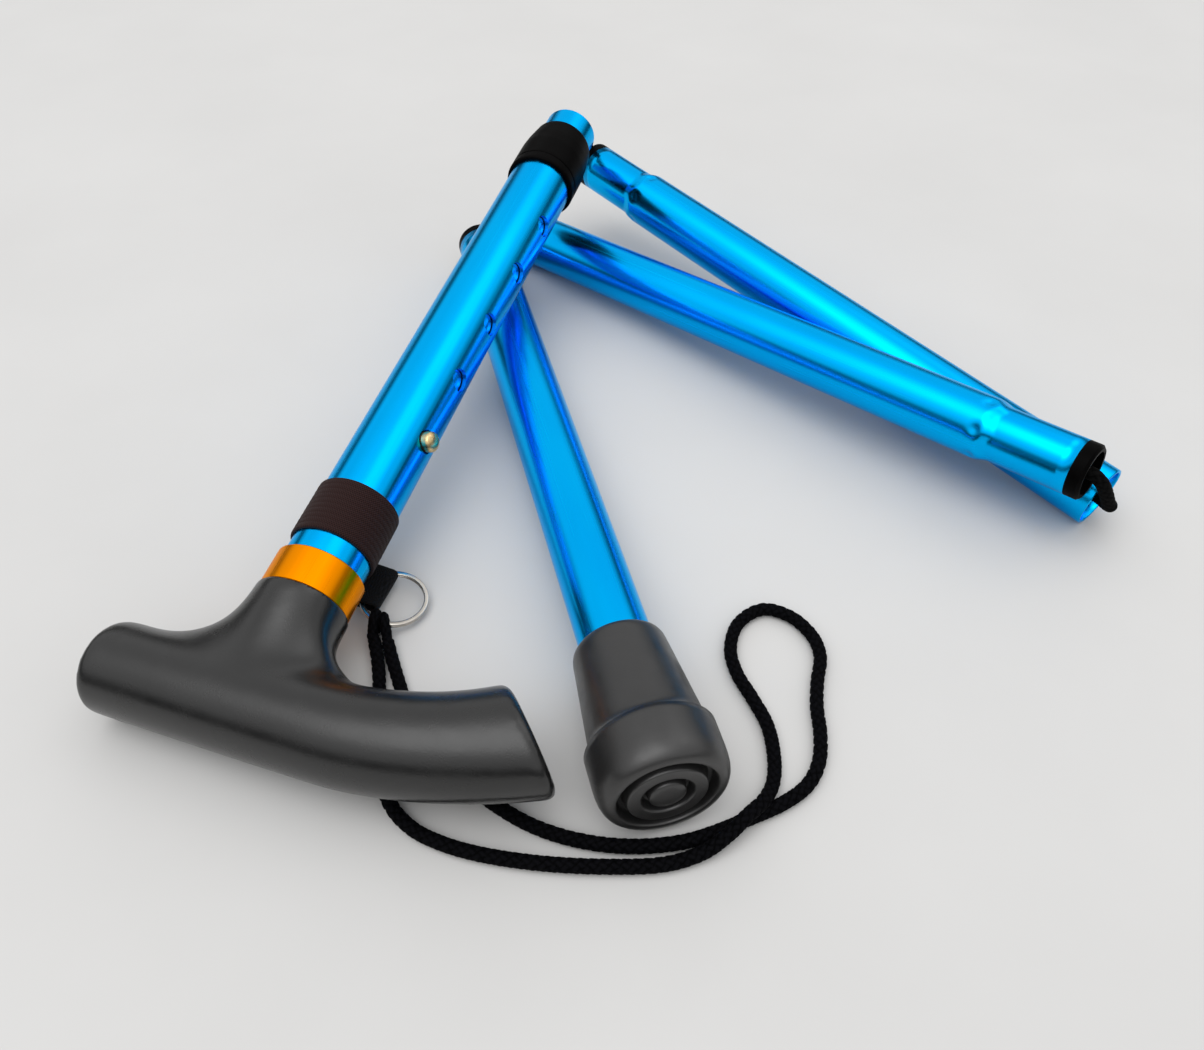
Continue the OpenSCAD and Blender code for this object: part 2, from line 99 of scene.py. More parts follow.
def turn_of(section, spin=0.0):
    """The turn from a section's own axes, spun about its tube, to the axes of the shared frame."""
    _, heading, tilt = SECTIONS[section]
    return turned(0, 90 - tilt, heading) @ turned(0, 0, spin)


def laid(points, section, spin=0.0):
    """Points in a section's own millimetres, spun about its axis, laid down as metres in the shared frame."""
    return (np.asarray(points, float) @ turn_of(section, spin).T + np.array(SECTIONS[section][0])) * MM


def along(section):
    """The unit direction of a section, from its upper end to its lower end."""
    return turn_of(section)[:, 2]


print("shaft runs along", np.round(along("shaft"), 3))

# %% [markdown]
# ## Tools for surfaces and finishes
# Every new piece is a grid: rows run along it and columns run round it. Closing the columns makes a tube, and
# closing the rows as well makes a hollow sleeve. The finishes share a few short helpers, because most of them
# are a colour, a roughness and a small bump that follow the same pattern.

# %% Grid meshes
def surface(name, grid, close_rows=False, caps=False, size=(1.0, 1.0), spots=None):
    """A smooth mesh from a grid of points in metres, rows by columns. Columns always close. Rows close too if
    asked, and caps shut both ends. The UV map runs over size along the rows and round the columns, and spots
    is a number for each point, kept as the attribute relief."""
    rows, cols = grid.shape[:2]
    i, j = np.meshgrid(np.arange(rows if close_rows else rows - 1), np.arange(cols), indexing="ij")
    at_row = np.stack([i, i, i + 1, i + 1], -1).reshape(-1, 4)
    at_col = np.stack([j, j + 1, j + 1, j], -1).reshape(-1, 4)
    quads = (at_row % rows) * cols + at_col % cols
    faces = quads.tolist()
    if caps:
        faces += [np.arange(cols)[::-1].tolist(), (np.arange(cols) + (rows - 1) * cols).tolist()]
    mesh = bpy.data.meshes.new(name)
    mesh.from_pydata(grid.reshape(-1, 3).tolist(), [], faces)
    if spots is not None:
        relief = mesh.attributes.new("relief", "FLOAT", "POINT")
        relief.data.foreach_set("value", np.asarray(spots, np.float32).ravel())
    corners = np.zeros((len(mesh.loops), 2), np.float32)
    corners[: quads.size, 0] = at_row.ravel() / rows * size[0]
    corners[: quads.size, 1] = at_col.ravel() / cols * size[1]
    mesh.uv_layers.new(name="UVMap").data.foreach_set("uv", corners.ravel())
    work = bmesh.new()
    work.from_mesh(mesh)
    bmesh.ops.remove_doubles(work, verts=work.verts, dist=1e-7)
    bmesh.ops.recalc_face_normals(work, faces=work.faces)
    work.to_mesh(mesh)
    work.free()
    mesh.polygons.foreach_set("use_smooth", np.ones(len(mesh.polygons), bool))
    piece = bpy.data.objects.new(name, mesh)
    scene.collection.objects.link(piece)
    return piece


def lathe(radii, heights, columns=96):
    """A profile of radii and heights carried round the local Z axis: x = r cos a, y = r sin a, z = h."""
    a = np.linspace(0, 2 * np.pi, columns, endpoint=False)
    r, h = np.asarray(radii, float)[:, None], np.asarray(heights, float)[:, None]
    return np.stack([r * np.cos(a), r * np.sin(a), h + 0 * a], -1)


def spline(points, step):
    """A smooth curve through the points at even steps: a cubic between each pair, whose slopes at a point are
    half the way from the point before it to the point after it."""
    p = np.asarray(points, float)
    p = np.vstack([2 * p[0] - p[1], p, 2 * p[-1] - p[-2]])
    t = np.linspace(0, 1, 24, endpoint=False)[None, :, None]
    a, b, c, d = (p[k: len(p) - 3 + k, None] for k in range(4))
    curve = 0.5 * (2 * b + (c - a) * t + (2 * a - 5 * b + 4 * c - d) * t**2 + (3 * b - a - 3 * c + d) * t**3)
    curve = np.vstack([curve.reshape(-1, 3), p[-2]])
    gone = np.concatenate([[0], np.cumsum(np.linalg.norm(np.diff(curve, axis=0), axis=1))])
    even = np.linspace(0, gone[-1], int(gone[-1] / step) + 1)
    return np.stack([np.interp(even, gone, curve[:, k]) for k in range(3)], -1), gone[-1]


def swept(path, section, across=None):
    """A cross-section carried along a path. Each ring is square to the path, and its first axis is level, or
    lies along the direction across when one is given."""
    ahead = np.gradient(path, axis=0)
    ahead /= np.linalg.norm(ahead, axis=1, keepdims=True)
    if across is None:
        level = np.stack([ahead[:, 1], -ahead[:, 0], 0 * ahead[:, 0]], -1)
    else:
        level = np.asarray(across) - (ahead @ across)[:, None] * ahead
    level /= np.linalg.norm(level, axis=1, keepdims=True)
    upward = np.cross(level, ahead)
    section = np.broadcast_to(section, (len(path),) + np.shape(section)[-2:])
    return path[:, None] + section[..., :1] * level[:, None] + section[..., 1:] * upward[:, None]


BRAID_LAYS = 5


def braid(rows, columns, pitch, length):
    """Relief of a round braid from 0 in its grooves to 1 on its crowns. Two sets of strands run round the
    cord opposite ways, and at each crossing the squares of a chessboard say which set lies on top."""
    s = np.linspace(0, length, rows)[:, None] / pitch
    v = np.linspace(0, BRAID_LAYS, columns, endpoint=False)[None, :]
    right, left = v + s, v - s
    on_top = (np.floor(right) + np.floor(left)) % 2
    crown = lambda x: np.abs(np.sin(np.pi * x))
    return np.where(on_top > 0.5, crown(right), crown(left))


# %% Finish helpers
def finish(name, colour, roughness, metallic=0.0):
    """A new material with a plain shader: its colour, its roughness and whether it is metal."""
    made = bpy.data.materials.new(name)
    made.use_nodes = True
    shader = made.node_tree.nodes["Principled BSDF"]
    shader.inputs["Base Color"].default_value = (*colour, 1)
    shader.inputs["Roughness"].default_value = roughness
    shader.inputs["Metallic"].default_value = metallic
    print("finish", name)
    return made, made.node_tree, shader


def own_place(tree, section, stretch):
    """Object coordinates turned into a section's own frame and scaled, so a pattern can run along the tube."""
    place = tree.nodes.new("ShaderNodeTexCoord")
    turn = tree.nodes.new("ShaderNodeMapping")
    turn.vector_type = "TEXTURE"
    start, heading, tilt = SECTIONS[section]
    turn.inputs["Location"].default_value = np.array(start) * MM
    turn.inputs["Rotation"].default_value = np.radians([0, 90 - tilt, heading])
    scale = tree.nodes.new("ShaderNodeMapping")
    scale.inputs["Scale"].default_value = stretch
    tree.links.new(place.outputs["Object"], turn.inputs["Vector"])
    tree.links.new(turn.outputs["Vector"], scale.inputs["Vector"])
    return scale.outputs["Vector"]


def speckle(tree, vector, scale, detail, rough=0.55):
    """Cloudy noise at a given scale on a vector, or on plain Object coordinates when the vector is None."""
    noise = tree.nodes.new("ShaderNodeTexNoise")
    noise.inputs["Scale"].default_value = scale
    noise.inputs["Detail"].default_value = detail
    noise.inputs["Roughness"].default_value = rough
    if vector is None:
        vector = tree.nodes.new("ShaderNodeTexCoord").outputs["Object"]
    tree.links.new(vector, noise.inputs["Vector"])
    return noise.outputs["Fac"]


def shades(tree, value, *stops):
    """A value turned into colours: each stop is a position and a colour, smooth between them."""
    ramp = tree.nodes.new("ShaderNodeValToRGB")
    knots = ramp.color_ramp.elements
    while len(knots) < len(stops):
        knots.new(0.5)
    for knot, (at, colour) in zip(knots, stops):
        knot.position, knot.color = at, (*colour, 1)
    tree.links.new(value, ramp.inputs["Fac"])
    return ramp.outputs["Color"]


def between(tree, value, low, high, start=0.3, stop=0.7):
    """A value spread so that start to stop becomes low to high."""
    spread = tree.nodes.new("ShaderNodeMapRange")
    for key, number in zip(("From Min", "From Max", "To Min", "To Max"), (start, stop, low, high)):
        spread.inputs[key].default_value = number
    tree.links.new(value, spread.inputs["Value"])
    return spread.outputs["Result"]


def painted(tree, shader, value, *stops):
    """The base colour follows a value through the stops."""
    tree.links.new(shades(tree, value, *stops), shader.inputs["Base Color"])


def polished(tree, shader, value, low, high):
    """The roughness follows a value from low to high."""
    tree.links.new(between(tree, value, low, high), shader.inputs["Roughness"])


def raised(tree, shader, value, strength, depth):
    """A bump from a value, of a real depth in metres, after any bump that is already there."""
    bump = tree.nodes.new("ShaderNodeBump")
    bump.inputs["Strength"].default_value = strength
    bump.inputs["Distance"].default_value = depth
    tree.links.new(value, bump.inputs["Height"])
    if shader.inputs["Normal"].links:
        tree.links.new(shader.inputs["Normal"].links[0].from_socket, bump.inputs["Normal"])
    tree.links.new(bump.outputs["Normal"], shader.inputs["Normal"])


def dress(piece, material, body, stands_for=()):
    """Gives a piece its finish and, if it is one body, the body that carries it, and hides the solids that it
    stands for."""
    piece.data.materials.clear()
    piece.data.materials.append(material)
    if body:
        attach(piece, body)
    if stands_for:
        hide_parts(*stands_for)
    print(piece.name, len(piece.data.polygons), "faces")


def coat_node(node, material):
    """Puts a finish in every slot of a solid of the frame."""
    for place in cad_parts[node].material_slots:
        place.material = material
    print(node, "wears", material.name)


# %% [markdown]
# ## Camera, light and floor
# The camera was fitted to the tubes' edges and the row of stop holes, so the render can be laid over the
# photograph. The light is one soft sky: pale all round, dim near the horizon, and brightest in a wide patch
# overhead and a small one behind, which stand for lamps. Bright metal shows that sky, so its patches have no
# hard edge. The floor is a wide pale sheet, and it isn't part of the object.

# %% Camera
FOCAL_PX, PHOTO_W_PX, SENSOR_W = 1037.9, 1204, 36.0
CAMERA_TILT, CAMERA_HEADING = 45.79, 0.68
camera = bpy.data.objects.new("camera", bpy.data.cameras.new("camera"))
scene.collection.objects.link(camera)
camera.data.sensor_fit = "HORIZONTAL"
camera.data.sensor_width = SENSOR_W
camera.data.lens = FOCAL_PX / PHOTO_W_PX * SENSOR_W
camera.data.clip_start = 0.01
camera.location = (-0.0113, -0.2546, 0.2237)
camera.rotation_euler = (np.radians(90 - CAMERA_TILT), 0.0, np.radians(CAMERA_HEADING))
scene.camera = camera
print("lens", round(camera.data.lens, 2), "mm")

# %% Sky
world = bpy.data.worlds.new("studio")
scene.world = world
world.use_nodes = True
sky = world.node_tree
sky_way = sky.nodes.new("ShaderNodeTexCoord").outputs["Generated"]
sky_split = sky.nodes.new("ShaderNodeSeparateXYZ")
sky.links.new(sky_way, sky_split.inputs[0])
greys = lambda levels: [(at, (level, level, level)) for at, level in levels]
# Levels of grey by the height of the direction, from the horizon to straight up
DOME_LEVELS = ((0.0, 0.07), (0.2, 0.12), (0.4, 0.95), (0.55, 0.85), (0.68, 0.85), (1.0, 1.0))
# For each soft lamp: the way to it, its levels by the cosine of the angle from that way, and its gain
LAMPS = (((-0.22, -0.24, 0.945), ((0.74, 0.0), (0.87, 0.22), (0.95, 0.85), (1.0, 1.0)), 1.95),
         ((0.48, 0.37, 0.795), ((0.91, 0.0), (0.95, 0.3), (0.985, 1.0)), 0.75))
light = shades(sky, sky_split.outputs["Z"], *greys(DOME_LEVELS))
for lamp_way, lamp_levels, lamp_gain in LAMPS:
    lean = sky.nodes.new("ShaderNodeVectorMath")
    lean.operation = "DOT_PRODUCT"
    lean.inputs[1].default_value = lamp_way
    sky.links.new(sky_way, lean.inputs[0])
    added = sky.nodes.new("ShaderNodeVectorMath")
    added.operation = "MULTIPLY_ADD"
    added.inputs[1].default_value = (lamp_gain, lamp_gain, lamp_gain)
    sky.links.new(shades(sky, lean.outputs["Value"], *greys(lamp_levels)), added.inputs[0])
    sky.links.new(light, added.inputs[2])
    light = added.outputs[0]
sky.links.new(light, sky.nodes["Background"].inputs["Color"])
print("sky with", len(LAMPS), "lamps")

# %% Floor
floor_finish, tree, shader = finish("pale_floor", (0.6, 0.596, 0.589), 0.75)
grain = speckle(tree, None, 9.0, 5.0)
painted(tree, shader, grain, (0.3, (0.586, 0.582, 0.575)), (0.7, (0.614, 0.610, 0.603)))
shader.inputs["Specular IOR Level"].default_value = 0.25
FLOOR_HALF = 3
floor_mesh = bpy.data.meshes.new("floor")
floor_corners = [(x * FLOOR_HALF, y * FLOOR_HALF, 0) for x, y in ((-1, -1), (1, -1), (1, 1), (-1, 1))]
floor_mesh.from_pydata(floor_corners, [], [(0, 1, 2, 3)])
floor = bpy.data.objects.new("floor", floor_mesh)
scene.collection.objects.link(floor)
floor_mesh.materials.append(floor_finish)
print("floor", 2 * FLOOR_HALF, "m wide")

# %% [markdown]
# ## The wrist cord
# The wrist cord is one loop of round braid, looped onto the split ring and laid on the floor. A curve with a
# bevel would be quicker, but it would be a smooth rod. Here a round section follows the cord's route, and its
# radius rises and falls with the strands of the braid, so the edge of the cord looks braided too.

# %% Braid finish
def braid_finish(name, groove, crown, fuzz):
    """Cloth strands: the colour follows the relief, with painted shade that darkens the grooves between the
    strands, and fine fibres run as a small bump.
    """
    made, tree, shader = finish(name, crown, 0.72)
    relief = tree.nodes.new("ShaderNodeAttribute")
    relief.attribute_name = "relief"
    # Painted shade: the colour darkens from the crowns, which keep the cord's own black, into the grooves
    painted(tree, shader, relief.outputs["Fac"], (0.15, groove), (0.9, crown))
    shader.inputs["Sheen Weight"].default_value = 0.006
    shader.inputs["Sheen Roughness"].default_value = 0.4
    shader.inputs["Specular IOR Level"].default_value = 0.03
    raised(tree, shader, speckle(tree, None, 2600.0, 2.0), fuzz, 0.0002)
    return made


# The first colour is painted shade for the grooves of the wrist cord's braid
cord_black = braid_finish("cord_braid", (0.0002, 0.0002, 0.0003), (0.003, 0.003, 0.004), 0.5)

# %% Wrist cord on its route
CORD_D, CORD_PITCH = 3.4, 2.5
CORD_ROUTE = np.array([
    [15.2, 3.2, 3], [17, -2.5, 2.2], [18.6, -9, 1.9], [19.8, -16, 1.9], [21, -26, 1.9],
    [23, -36, 1.9], [27, -46, 1.9], [33, -52.5, 1.9], [41, -56.5, 1.9], [51, -59.2, 1.9],
    [64, -61, 1.9], [78, -61.6, 1.9], [91, -61, 1.9], [100, -58.4, 2.3], [106, -55, 4.2],
    [111, -50.6, 5.6], [115.6, -45.6, 4.2], [118.5, -39.5, 2.2], [119.4, -32, 1.9], [118.6, -23.5, 1.9],
    [115.6, -15.5, 1.9], [112.2, -7.5, 1.9], [111.2, 0.5, 1.9], [114, 9, 1.9], [121, 14, 1.9],
    [128.5, 11.5, 1.9], [133.5, 5, 1.9], [134.8, -2, 1.9], [133, -10, 1.9], [131.8, -18, 1.9],
    [131.6, -26, 1.9], [130.2, -34, 1.9], [126.5, -40.5, 1.9], [120, -45.4, 1.9], [112, -49.2, 1.9],
    [104, -52.8, 1.9], [96, -55.4, 1.9], [86, -56.6, 1.9], [76, -56, 1.9], [66, -53.6, 1.9],
    [57, -49.5, 1.9], [47, -42.5, 1.9], [39, -34.5, 1.9], [32, -26, 1.9], [26.8, -17.5, 1.9],
    [23.4, -9.5, 1.9], [20.9, -3, 2.2], [19.1, 2.2, 3]])


def braided_rod(path, length, radius, pitch, depth, columns, dome, across=None):
    """Rings along a path whose radius falls by depth in the grooves of the braid. Within dome of an end the
    radius also falls off as a quarter circle, which rounds the end."""
    relief = braid(len(path), columns, pitch, length)
    a = np.linspace(0, 2 * np.pi, columns, endpoint=False)
    way = np.linspace(0, length, len(path))
    left = np.clip(1 - np.minimum(way, length - way) / dome, 0, 0.97)
    r = (radius - depth * (1 - relief)) * np.sqrt(1 - left**2)[:, None]
    return swept(path, np.stack([r * np.cos(a), r * np.sin(a)], -1), across), relief


cord_path, cord_length = spline(CORD_ROUTE + np.array([*NECK, 0]), 0.3)
cord_grid, cord_relief = braided_rod(cord_path, cord_length, radius=CORD_D / 2 + 0.1, pitch=CORD_PITCH,
                                     depth=0.34, columns=36, dome=2.2)
wrist_cord = surface("wrist_cord_braid", cord_grid * MM, caps=True, spots=cord_relief)
dress(wrist_cord, cord_black, "handle_section", ["wrist_cord"])
print("cord length", round(cord_length), "mm")

# %% [markdown]
# The cord is fastened with a hitch: both strands climb over the ring's wire side by side, turn round it and
# come back underneath, where they are pinched. Each turn is a short rod of the same braid that starts inside
# its strand.

# %% Hitch round the ring
RING_AT = np.array([NECK[0] + 19.2, NECK[1] + 15.2, 3.572])
RING_TURN, RING_TILT, RING_R = 163.4, 8.0, 8.8
ring_axes = turned(0, 0, RING_TURN) @ turned(0, -RING_TILT, 0)


def on_ring(points):
    """Points in the ring's own millimetres, with Z square to the ring, as metres in the shared frame."""
    return (np.asarray(points, float) @ ring_axes.T + RING_AT) * MM


# Distances out from the wire and heights above it, from inside the strand to the pinched end
HITCH_WAY = np.array([[6.2, -0.7], [4.4, -0.3], [2.9, 0.8], [1.5, 1.75], [0.0, 2.05], [-1.45, 1.45],
                      [-2.05, 0.0], [-1.45, -1.45], [0.0, -1.95], [1.5, -1.75], [3.4, -1.3]])
HITCH_SPREAD = 1.35
upward = np.array([0, 0, 1.0])
hitch_turns = []
for start, offset in ((cord_path[0], HITCH_SPREAD), (cord_path[-1], -HITCH_SPREAD)):
    wire_at = on_ring([offset, RING_R, 0]) * 1000
    outward = np.array([*(start - wire_at)[:2], 0])
    outward /= np.linalg.norm(outward)
    way, way_length = spline(wire_at + HITCH_WAY[:, :1] * outward + HITCH_WAY[:, 1:] * upward, 0.3)
    grid, relief = braided_rod(way, way_length, radius=HITCH_SPREAD + 0.08, pitch=CORD_PITCH, depth=0.26,
                               columns=30, dome=1.5, across=ring_axes[:, 0])
    hitch_turns.append(surface("hitch_turn_%d" % len(hitch_turns), grid * MM, caps=True, spots=relief))
dress(hitch_turns[0], cord_black, "handle_section", ["cord_hitch"])
dress(hitch_turns[1], cord_black, "handle_section")

# %% [markdown]
# ## The grip
# The grip is one smooth moulding. Its arm is a tube round a line that slopes a little and curls up on the
# long side, and its neck is a stack of ovals. Joined as they are they would meet in a hard crease, so both
# closed surfaces are wrapped in one new skin of small squares, which is then relaxed until the crease is a
# fillet.

# %% Grip surfaces
GRIP_D, GRIP_SHORT, GRIP_LONG, GRIP_DROP, GRIP_ROLL, GRIP_RAKE = 24.8, 41.0, 71.0, 29.5, 3.8, 2.5
CURL_FROM, CURL_RATE, END_CUT, NECK_D, SOCKET = 22.0, 0.005, 0.75, 25.6, 22.0
# The bore of every piece that takes the shaft
BORE_R = 11.05


def arm_of_grip(rows=150, columns=72):
    """Rings round the grip's line. The line falls with the rake and rises as the square of the distance past
    the curl. The half thickness shrinks a little towards both ends, where a quarter circle rounds the edge,
    and the rings of the long arm lean back more and more, which cuts its end obliquely."""
    u = np.concatenate([np.linspace(-GRIP_SHORT, -GRIP_SHORT + 3, 16),
                        np.linspace(-GRIP_SHORT + 4, GRIP_LONG - 4, rows - 32),
                        np.linspace(GRIP_LONG - 3, GRIP_LONG, 16)])[:, None]
    past = np.maximum(u - CURL_FROM, 0)
    height = -GRIP_DROP - np.tan(np.radians(GRIP_RAKE)) * u + CURL_RATE * past**2
    slope = np.arctan(2 * CURL_RATE * past - np.tan(np.radians(GRIP_RAKE)))
    lean = END_CUT * 0.55 * (past / (GRIP_LONG - CURL_FROM)) ** 2
    edge = 2.2
    inset = np.clip(edge - np.minimum(u + GRIP_SHORT, GRIP_LONG - u), 0, edge)
    half = GRIP_D / 2 * (1 - 0.03 * ((u - 18) / 60) ** 2) - edge + np.sqrt(edge**2 - inset**2)
    g = np.linspace(0, 2 * np.pi, columns, endpoint=False)[None, :]
    h = half * np.cos(g)
    return np.stack([-half * np.sin(g), u - h * (np.sin(slope) + lean), height + h * np.cos(slope)], -1)


def neck_of_grip(rows=60, columns=72):
    """Ovals from inside the grip up past the rim. Each reaches further towards the short arm than towards the
    long arm, by widths that grow quickly near the grip, and narrows where it reaches far."""
    w = np.array([1.5, 0, -3, -6, -9, -11.5, -13.5, -15, -19, -GRIP_DROP])
    left = np.array([0, 0, 0.4, 1.3, 3.4, 7, 12, 15, 17, 17.0])
    right = np.array([0, 0, 0, 0.2, 0.9, 2.6, 5.6, 9.2, 12.5, 13.0])
    thin = np.array([0, 0, 0.1, 0.2, 0.3, 0.4, 0.5, 0.6, 0.8, 1.0])
    at = np.linspace(1.5, -GRIP_DROP, rows)
    read = lambda k: np.interp(-at, -w, k)[:, None]
    g = np.linspace(0, 2 * np.pi, columns, endpoint=False)[None, :]
    reach = NECK_D / 2 + np.where(np.cos(g) > 0, read(right), read(left)) * np.abs(np.cos(g)) ** 0.5
    slim = 1 - 0.5 * np.where(np.cos(g) > 0, read(right) / 13, read(left) / 17) * np.abs(np.cos(g))
    half = (NECK_D / 2 - read(thin)) * np.sin(g) * slim
    return np.stack([half, reach * np.cos(g), at[:, None] + 0 * g], -1)


on_grip = lambda points: laid(points, "shaft", 180 - GRIP_ROLL)
grip = surface("grip_moulding", on_grip(arm_of_grip()), caps=True)
neck = surface("grip_neck", on_grip(neck_of_grip()), caps=True)
# The cutter bores the socket for the shaft and faces the rim flat
cutter_grid = lathe([0, BORE_R, BORE_R, 40, 40, 0], [-SOCKET, -SOCKET, 0, 0, 12, 12], 64)
cutter = surface("socket_cutter", on_grip(cutter_grid))

# %% One skin over the grip
SKIN_CELL = 0.0008
both = bmesh.new()
both.from_mesh(grip.data)
both.from_mesh(neck.data)
both.to_mesh(grip.data)
both.free()
bpy.data.objects.remove(neck)
skin = grip.modifiers.new("skin", "REMESH")
skin.mode, skin.voxel_size, skin.use_smooth_shade = "VOXEL", SKIN_CELL, True
wrapped = bpy.data.meshes.new_from_object(grip.evaluated_get(bpy.context.evaluated_depsgraph_get()))
grip.modifiers.clear()
grip.data = wrapped


def relaxed(points, edges, weight, rounds):
    """Each round moves every point half its weight of the way to the mean of its neighbours."""
    ends = np.concatenate([edges, edges[:, ::-1]])
    count = np.maximum(np.bincount(ends[:, 0], minlength=len(points)), 1)[:, None]
    for _ in range(rounds):
        total = [np.bincount(ends[:, 0], points[ends[:, 1], k], len(points)) for k in range(3)]
        points = points + 0.5 * weight[:, None] * (np.stack(total, -1) / count - points)
    return points


skin_points = np.zeros(len(wrapped.vertices) * 3)
wrapped.vertices.foreach_get("co", skin_points)
skin_edges = np.zeros(len(wrapped.edges) * 2, np.int64)
wrapped.edges.foreach_get("vertices", skin_edges)
skin_points, skin_edges = skin_points.reshape(-1, 3), skin_edges.reshape(-1, 2)
own = (skin_points * 1000 - np.array(SECTIONS["shaft"][0])) @ turn_of("shaft", 180 - GRIP_ROLL)
# One near the crease between arm and neck, falling smoothly to nothing away from it
crease = np.exp(-((own[:, 1] / 33) ** 4) - ((own[:, 2] + 16.5) / 9) ** 2)
skin_points = relaxed(skin_points, skin_edges, np.ones(len(own)), 8)
skin_points = relaxed(skin_points, skin_edges, np.minimum(1.3 * crease, 1), 150)
wrapped.vertices.foreach_set("co", skin_points.ravel())
bore = grip.modifiers.new("bore", "BOOLEAN")
bore.operation, bore.solver, bore.object = "DIFFERENCE", "EXACT", cutter
ready = bpy.data.meshes.new_from_object(grip.evaluated_get(bpy.context.evaluated_depsgraph_get()))
grip.modifiers.clear()
grip.data = ready
bpy.data.objects.remove(cutter)
grip.data.polygons.foreach_set("use_smooth", np.ones(len(grip.data.polygons), bool))
print("grip skin", len(skin_points), "points")

# %% Moulded grip finish
grip_grey, tree, shader = finish("moulded_grip", (0.006, 0.006, 0.006), 0.25)
mottle = speckle(tree, None, 55.0, 4.0)
painted(tree, shader, mottle, (0.3, (0.004, 0.004, 0.004)), (0.7, (0.007, 0.007, 0.007)))
polished(tree, shader, speckle(tree, None, 140.0, 5.0), 0.2, 0.3)
shader.inputs["Specular IOR Level"].default_value = 0.62
raised(tree, shader, speckle(tree, None, 2400.0, 2.0), 0.25, 0.00012)
raised(tree, shader, speckle(tree, None, 180.0, 6.0, 0.7), 0.12, 0.0003)
# Small rubbed spots show a paler grey
rubbed = shades(tree, speckle(tree, None, 75.0, 7.0, 0.68), (0.7, (0, 0, 0)), (0.76, (1, 1, 1)))
worn_mix = tree.nodes.new("ShaderNodeMix")
worn_mix.data_type = "RGBA"
tree.links.new(rubbed, worn_mix.inputs["Factor"])
tree.links.new(shader.inputs["Base Color"].links[0].from_socket, worn_mix.inputs["A"])
worn_mix.inputs["B"].default_value = (0.06, 0.06, 0.06, 1)
tree.links.new(worn_mix.outputs["Result"], shader.inputs["Base Color"])
dress(grip, grip_grey, "handle_section", ["handle"])

# %% [markdown]
# ## The lower tubes
# Each lower tube is drawn down at its upper end, so that it plugs into the tube above, and the step between
# is pressed by a tool with lobes. The lobes leave a scalloped edge and small dents. A plain turned step would
# lack both, so the radius here is a function of the way along the tube and of the angle round it.

# %% Tube with a pressed step
TUBE_R, TUBE_WALL, NECK_R, PLUG_RIM, STEP_AT, STEP_L = 9.5, 0.9, 8.4, 4.2, 26.2, 4.0
ease = lambda x: np.clip(x, 0, 1) ** 2 * (3 - 2 * np.clip(x, 0, 1))


def pressed_tube(columns=96):
    """A sleeve whose outer radius eases from the neck to the tube over the step. The step's place swings
    along the tube with six lobes, and round dents of half a millimetre sit just past it. The bore follows
    inside."""
    s = np.concatenate([np.linspace(PLUG_RIM, STEP_AT - 4, 6), np.linspace(STEP_AT - 3.5, STEP_AT + 12, 46),
                        np.linspace(STEP_AT + 14, SECTION_L - 0.4, 40)])[:, None]
    a = np.linspace(0, 2 * np.pi, columns, endpoint=False)[None, :]
    swing = 1.3 * np.abs(np.sin(3 * a)) ** 1.5
    r = NECK_R + (TUBE_R - NECK_R) * ease((s - STEP_AT - swing) / (STEP_L + 0.6))
    r = r - 0.5 * np.exp(-(((s - STEP_AT - STEP_L - 2.2) / 1.7) ** 2)) * np.abs(np.cos(3 * a)) ** 6
    inner = np.maximum(r - TUBE_WALL, NECK_R - TUBE_WALL)
    rim = np.array([[SECTION_L - 0.1, -0.1], [SECTION_L, -0.3],
                    [SECTION_L, -TUBE_WALL + 0.3], [SECTION_L - 0.1, -TUBE_WALL + 0.1]])
    r = np.concatenate([r, TUBE_R + rim[:, 1:] + 0 * a, inner[::-1]])
    s = np.concatenate([s, rim[:, :1], s[::-1]]) + 0 * a
    return np.stack([r * np.cos(a), r * np.sin(a), s], -1)


# %% [markdown]
# The tubes are bright dipped aluminium, dyed blue and sealed. The metal itself reflects, so the colour sits
# in the reflection: lamps show as pale cyan, the floor as blue and the dim edge of the room as navy.
# Drawing the tube leaves faint lines along it, which a noise stretched along the tube gives.

# %% Anodised finishes
def anodised(name, section, deep, bright, edge, smooth, lines):
    """Dyed metal along a section: clouds vary the dye from deep to bright, edge tints the glancing light, and
    drawing lines vary the roughness a little."""
    made, tree, shader = finish(name, bright, smooth, 1.0)
    drawn = speckle(tree, own_place(tree, section, (1, 1, 0.012)), 520.0, 4.0, 0.6)
    cloud = speckle(tree, own_place(tree, section, (1, 1, 0.25)), 60.0, 3.0)
    painted(tree, shader, cloud, (0.3, deep), (0.7, bright))
    polished(tree, shader, drawn, smooth - 0.06, smooth + 0.08)
    shader.inputs["Specular Tint"].default_value = (*edge, 1)
    raised(tree, shader, drawn, lines, 0.00003)
    return made


BLUE_DYE = ((0.0, 0.42, 0.96), (0.0, 0.48, 1.0), (0.55, 0.85, 1.0))
GOLD_DYE = ((0.92, 0.25, 0.0), (1.0, 0.32, 0.0), (1.0, 0.85, 0.6))
blue = {key: anodised("anodised_blue_" + key, key, *BLUE_DYE, 0.22, 0.25) for key in SECTIONS}
for node in ("outer_tube", "inner_tube"):
    coat_node(node, blue["shaft"])
for number, key in ((2, "second"), (3, "third"), (4, "fourth")):
    tube = surface("pressed_tube_%d" % number, laid(pressed_tube(), key), close_rows=True)
    dress(tube, blue[key], "section_%d" % number, ["tube_%d" % number])
coat_node("collar", anodised("anodised_gold", "shaft", *GOLD_DYE, 0.3, 0.4))

# %% [markdown]
# ## Black mouldings
# The lock ring is a sleeve that tapers onto the inner tube, with a fine groove behind its lip. It is turned
# from one profile. The plugs keep their solids and share its finish, a smooth black plastic with faint
# scuffs.

